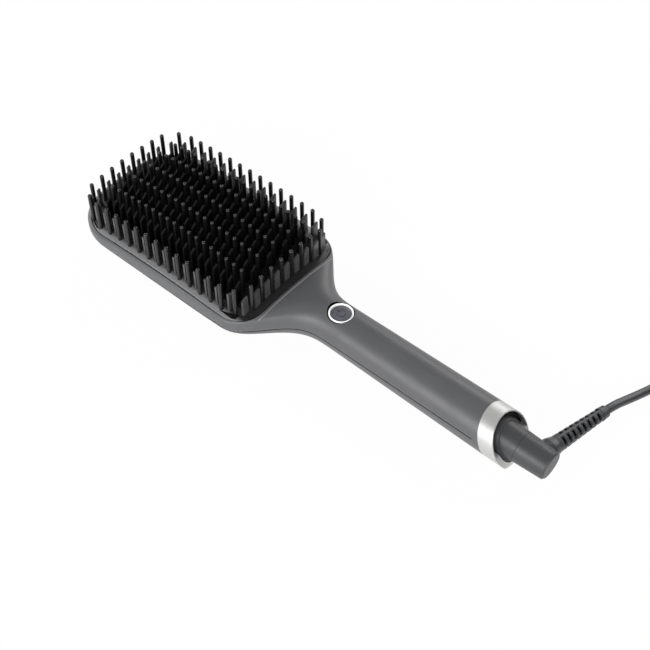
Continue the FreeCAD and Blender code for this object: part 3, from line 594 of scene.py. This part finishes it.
# painted shade: black floor and wall inside the button's recess
def buildRecessShade():
    top = handleRadius(button["along"]) - button["sink"]
    skin = handleRadius(button["along"])
    turn = np.linspace(0, 2 * np.pi, recessShade["turns"], endpoint=False)
    floor = np.full_like(turn, top - recessShade["depth"])
    wall = np.sqrt(skin ** 2 - (recessShade["outer"] * np.sin(turn)) ** 2) - recessShade["lip"]
    wall = np.maximum(wall, floor + recessShade["lip"])
    rows = [(recessShade["inner"], floor), (recessShade["outer"], floor), (recessShade["outer"], wall)]
    points = np.stack([onHandle(button["along"] + radius * np.cos(turn), radius * np.sin(turn), height)
                       for radius, height in rows])
    piece = addPiece("buttonRecessShade", sheetMesh("buttonRecessShade", points, closed=True), "root",
                     finishes["painted_shade_black"])


buildButton()
buildRecessShade()
print("power button: face and seal")


# Guard fins between the long bristles: satin faces over the moulded plates

fins = {
    "fieldX": -78.75,
    "crown": 28.7,
    "dropAlong": 0.00077,       # bed's drop per square millimetre along X and across
    "dropAcross": 0.00279,
    "pitch": 7.5,
    "thickness": 1.2,
    "slope": 0.47,
    "proud": 0.05,
    "rootDepth": 1.0,           # how far each facing goes down into the bed
    "softEdge": 0.12,
    "edgeSegments": 2,
    "sideRow": 35.4,
    "sideSetBack": 0.5,         # from the bristles' row to the fins' outer end
    "sideWidth": 3.8,
    "sideHeight": 12.6,
    "sideCount": 12,
    "cornerAlong": 48.95,
    "cornerStep": 0.6,
    "endRow": 57.9,
    "endHeight": 11.0,
    "endCount": 7,
    "headWidth": 1.8,
    "headShift": -1.1,
    "neckWidth": 3.8,
    "cornerInset": 1.5,
    "cornerAcross": 29.85,
}


def bedHeight(x, y):
    # x and y from the middle of the field
    return fins["crown"] - fins["dropAlong"] * x * x - fins["dropAcross"] * y * y


def finPlan():
    # x, y, width, height of the high corner, side towards which the top rises
    plan = []
    half = (fins["sideCount"] - 1) / 2
    for side in (-1, 1):
        spots = [(fins["pitch"] * (k - half), fins["sideRow"]) for k in range(fins["sideCount"])]
        spots += [(end * fins["cornerAlong"], fins["sideRow"] - fins["cornerStep"]) for end in (-1, 1)]
        for x, row in spots:
            y = side * (row - fins["sideSetBack"] - fins["sideWidth"] / 2)
            plan.append((x, y, fins["sideWidth"], bedHeight(x, row) + fins["sideHeight"], side))
    half = (fins["endCount"] - 1) / 2
    for end, width, shift in ((-1, fins["headWidth"], fins["headShift"]), (1, fins["neckWidth"], 0)):
        spots = [(fins["endRow"], shift + fins["pitch"] * (k - half)) for k in range(fins["endCount"])]
        spots += [(fins["endRow"] - fins["cornerInset"], side * fins["cornerAcross"]) for side in (-1, 1)]
        plan += [(end * x, y, width, bedHeight(x, y) + fins["endHeight"], 1) for x, y in spots]
    return plan


boxQuads = ((3, 2, 1, 0), (4, 5, 6, 7), (0, 1, 5, 4), (1, 2, 6, 5), (2, 3, 7, 6), (3, 0, 4, 7))


def buildFins():
    points, faces = [], []
    for x, y, width, high, side in finPlan():
        halfX = fins["thickness"] / 2 + fins["proud"]
        halfY = width / 2 + fins["proud"]
        tops = {side: high + fins["proud"], -side: high + fins["proud"] - fins["slope"] * width}
        foot = bedHeight(x, y) - fins["rootDepth"]
        start = len(points)
        for dx in (-halfX, halfX):
            for dy, dz in ((-1, foot), (1, foot), (1, tops[1]), (-1, tops[-1])):
                points.append(Vector((fins["fieldX"] + x + dx, y + dy * halfY, dz)) * mm)
        faces += [[start + corner for corner in quad] for quad in boxQuads]
    mesh = bpy.data.meshes.new("guardFins")
    mesh.from_pydata(points, [], faces)
    piece = addPiece("guardFins", mesh, "root", finishes["fin_nylon"])
    bevel = piece.modifiers.new("softEdges", "BEVEL")
    bevel.width = fins["softEdge"] * mm
    bevel.segments = fins["edgeSegments"]
    return len(faces) // len(boxQuads)


print("guard fins:", buildFins())


# Lines on the housings: a level parting line all round, drawn as a painted shadow strip under a painted
# highlight strip, and a bead by the tray's neck end whose lighter finish is a painted highlight

seamLine = {
    "height": 15.994,           # the housings' own joint falls towards the cord end; this line stays level
    "startX": 108.0,            # by the end ring, on both sides
    "turnX": -100.0,            # centre of the turn round the head's tip
    "far": 0.2,                 # metres out, where the rays start
    "steps": 110,
    "turnSteps": 60,
    "proud": 0.03,
    "strips": [
        {"name": "partingShadow", "low": -0.75, "high": -0.05, "finish": "painted_shade_black"},
        {"name": "partingHighlight", "low": -0.05, "high": 0.35, "finish": "painted_highlight_edge"},
    ],
}

bead = {
    "halfLength": 65.1,         # rounded rectangle that the bead follows, from the middle of the field
    "halfWidth": 40.2,
    "corner": 17.6,
    "reach": 34.0,
    "width": 0.9,
    "height": 0.3,
    "lift": 0.01,
    "steps": 90,
    "archSteps": 7,
    "above": 100.0,             # where the rays start
    "steepest": 0.3,            # least upward share of the skin's normal
}

housingSkin = skinOf("front_housing", "rear_housing")


def dropColumn(starts, way, lifts, steepest=-1.0):
    # points cast on to the housings and lifted off them; empty where one misses or the skin is too steep
    column = []
    for start, lift in zip(starts, lifts):
        hit, normal, *_ = housingSkin.ray_cast(start, way)
        if not hit or normal.z < steepest:
            return []
        column.append(hit + normal * lift)
    return column


def joinColumns(columns):
    return np.array([column for column in columns if column]).transpose(1, 0, 2)


def seamRays():
    # starts and ways of the rays, along the near side, round the tip and back along the far side
    along = np.linspace(seamLine["startX"], seamLine["turnX"], seamLine["steps"]) * mm
    turn = np.linspace(-np.pi / 2, -3 * np.pi / 2, seamLine["turnSteps"])[1:-1]
    far, tip = seamLine["far"], seamLine["turnX"] * mm
    rays = [(Vector((x, -far, 0)), Vector((0, 1, 0))) for x in along]
    for angle in turn:
        out = Vector((math.cos(angle), math.sin(angle), 0))
        rays.append((Vector((tip, 0, 0)) + out * far, -out))
    rays += [(Vector((x, far, 0)), Vector((0, -1, 0))) for x in along[::-1]]
    return rays


def seamStrip(low, high):
    heights = [(seamLine["height"] + offset) * mm for offset in (low, (low + high) / 2, high)]
    lifts = [seamLine["proud"] * mm] * len(heights)
    return joinColumns([dropColumn([start + Vector((0, 0, height)) for height in heights], way, lifts)
                        for start, way in seamRays()])


def buildSeam():
    for strip in seamLine["strips"]:
        mesh = sheetMesh(strip["name"], seamStrip(strip["low"], strip["high"]))
        piece = addPiece(strip["name"], mesh, "root", finishes[strip["finish"]])


def beadColumn(x, y, tilt):
    # one arch of the bead, across its line
    nx, ny = math.sqrt(1 - tilt ** 2), tilt
    starts, lifts = [], []
    for angle in np.linspace(0, np.pi, bead["archSteps"]):
        out = -bead["width"] / 2 * math.cos(angle)
        starts.append(Vector((fins["fieldX"] + x + nx * out, y + ny * out, bead["above"])) * mm)
        lifts.append((bead["height"] * math.sin(angle) + bead["lift"]) * mm)
    return dropColumn(starts, Vector((0, 0, -1)), lifts, bead["steepest"])


def buildBead():
    # half-round bead that follows the tray's outline across the neck end; its lighter finish is a painted
    # highlight
    radius = bead["corner"]
    across = np.linspace(-bead["reach"], bead["reach"], bead["steps"])
    past = np.maximum(np.abs(across) - (bead["halfWidth"] - radius), 0)
    x = bead["halfLength"] - radius + np.sqrt(radius ** 2 - past ** 2)
    tilt = np.sign(across) * past / radius
    rows = joinColumns([beadColumn(*place) for place in zip(x, across, tilt)])
    piece = addPiece("neckBead", sheetMesh("neckBead", rows), "root", finishes["painted_highlight_edge"])


buildSeam()
buildBead()
print("housing lines: parting line and neck bead")


# Painted shade: a black core that shows through the strain relief's slots in place of their shade

reliefSlotShade = {
    "tip": (145.9, 46.1, 10.22),
    "way": (8.7, 46.1, -3.65),
    "start": 11.0,              # the core's ends, along the relief from its root
    "end": 42.5,
    "startRadius": 3.6,
    "endRadius": 2.4,
    "rows": 12,
    "turns": 32,
}


def buildReliefSlotShade():
    whole = Vector(reliefSlotShade["way"])
    way = whole.normalized()
    side = way.orthogonal().normalized()
    other = way.cross(side)
    root = Vector(reliefSlotShade["tip"]) - way * whole.length
    turn = np.linspace(0, 2 * np.pi, reliefSlotShade["turns"], endpoint=False)
    rows = []
    for share in np.linspace(0, 1, reliefSlotShade["rows"]):
        centre = root + way * (reliefSlotShade["start"] + (reliefSlotShade["end"] - reliefSlotShade["start"]) * share)
        radius = reliefSlotShade["startRadius"] + (reliefSlotShade["endRadius"] - reliefSlotShade["startRadius"]) * share
        rows.append([(centre + (side * math.cos(a) + other * math.sin(a)) * radius) * mm for a in turn])
    piece = addPiece("reliefSlotShade", sheetMesh("reliefSlotShade", np.array(rows), closed=True), "swivel",
                     finishes["painted_shade_black"])


buildReliefSlotShade()
print("strain relief: dark core")


# Mains cord, from the strain relief's tip through the coil to the plug

cord = {
    "radius": 2.3,
    "length": 2700.0,
    "leadIn": [(145.88, 46.1, 10.2), (147.08, 52.47, 9.7), (149.38, 62.5, 6.2), (152.18, 73.0, 3.5),
               (155.58, 84.0, 2.3), (160.58, 97.2, 2.3), (166.18, 111.2, 2.3)],
    "coilCentre": (202.98, 106.75),
    "coilMiddle": 27.0,
    "layers": 4,
    "entry": 150.0,             # degrees round the coil's centre
    "leave": 0.0,
    "pointsPerTurn": 24,
    "stepTurn": 0.25,           # share of a turn that a step to the next turn or layer takes
    "order": 3,
    "stepsAlong": 5,
    "stepsRound": 5,
    "tail": [(237.88, 90.51, 15.54), (237.68, 68.67, 8.2), (236.88, 50.75, 6.8)],
}


def coilRoute():
    # turns go inwards on one layer and outwards on the next
    radius, layers = cord["radius"], cord["layers"]
    pitch = 2 * radius
    outer = cord["coilMiddle"] + radius * (layers - 1)
    sweep = cord["entry"] - cord["leave"] + 360 * (layers * layers - 1)
    travel = np.linspace(0, sweep, int(cord["pointsPerTurn"] * sweep / 360))
    ring = travel / 360
    layer = np.minimum(np.floor(ring / layers), layers - 1)
    inLayer = ring - layer * layers
    step = cord["stepTurn"]
    late = np.clip((inLayer - np.floor(inLayer) - 1 + step) / step, 0, 1)
    across = np.where(inLayer < layers - 1, np.floor(inLayer) + late, layers - 1)
    inward = np.where(layer % 2 == 0, across, layers - 1 - across)
    up = layer + np.where((inLayer >= layers - 1) & (layer < layers - 1), late, 0)
    turn = np.radians(cord["entry"] - travel)
    distance = outer - pitch * inward
    x = cord["coilCentre"][0] + distance * np.cos(turn)
    y = cord["coilCentre"][1] + distance * np.sin(turn)
    return list(zip(x, y, radius + pitch * up))


def buildCord():
    route = [Vector(point) * mm for point in cord["leadIn"] + coilRoute() + cord["tail"]]
    curve = bpy.data.curves.new("mainsCord", "CURVE")
    curve.dimensions = "3D"
    curve.bevel_depth = cord["radius"] * mm
    curve.bevel_resolution = cord["stepsRound"]
    curve.resolution_u = cord["stepsAlong"]
    curve.use_fill_caps = True
    spline = curve.splines.new("NURBS")
    spline.points.add(len(route) - 1)
    for point, place in zip(spline.points, route):
        point.co = (*place, 1)
    spline.order_u = cord["order"]
    spline.use_endpoint_u = True
    spline.use_smooth = True
    piece = addPiece("mainsCord", curve, "swivel", finishes["cord_rubber"])
    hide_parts("power_cord", "cord_coil", "cord_tail")
    return len(route)


print("mains cord:", buildCord(), "points")
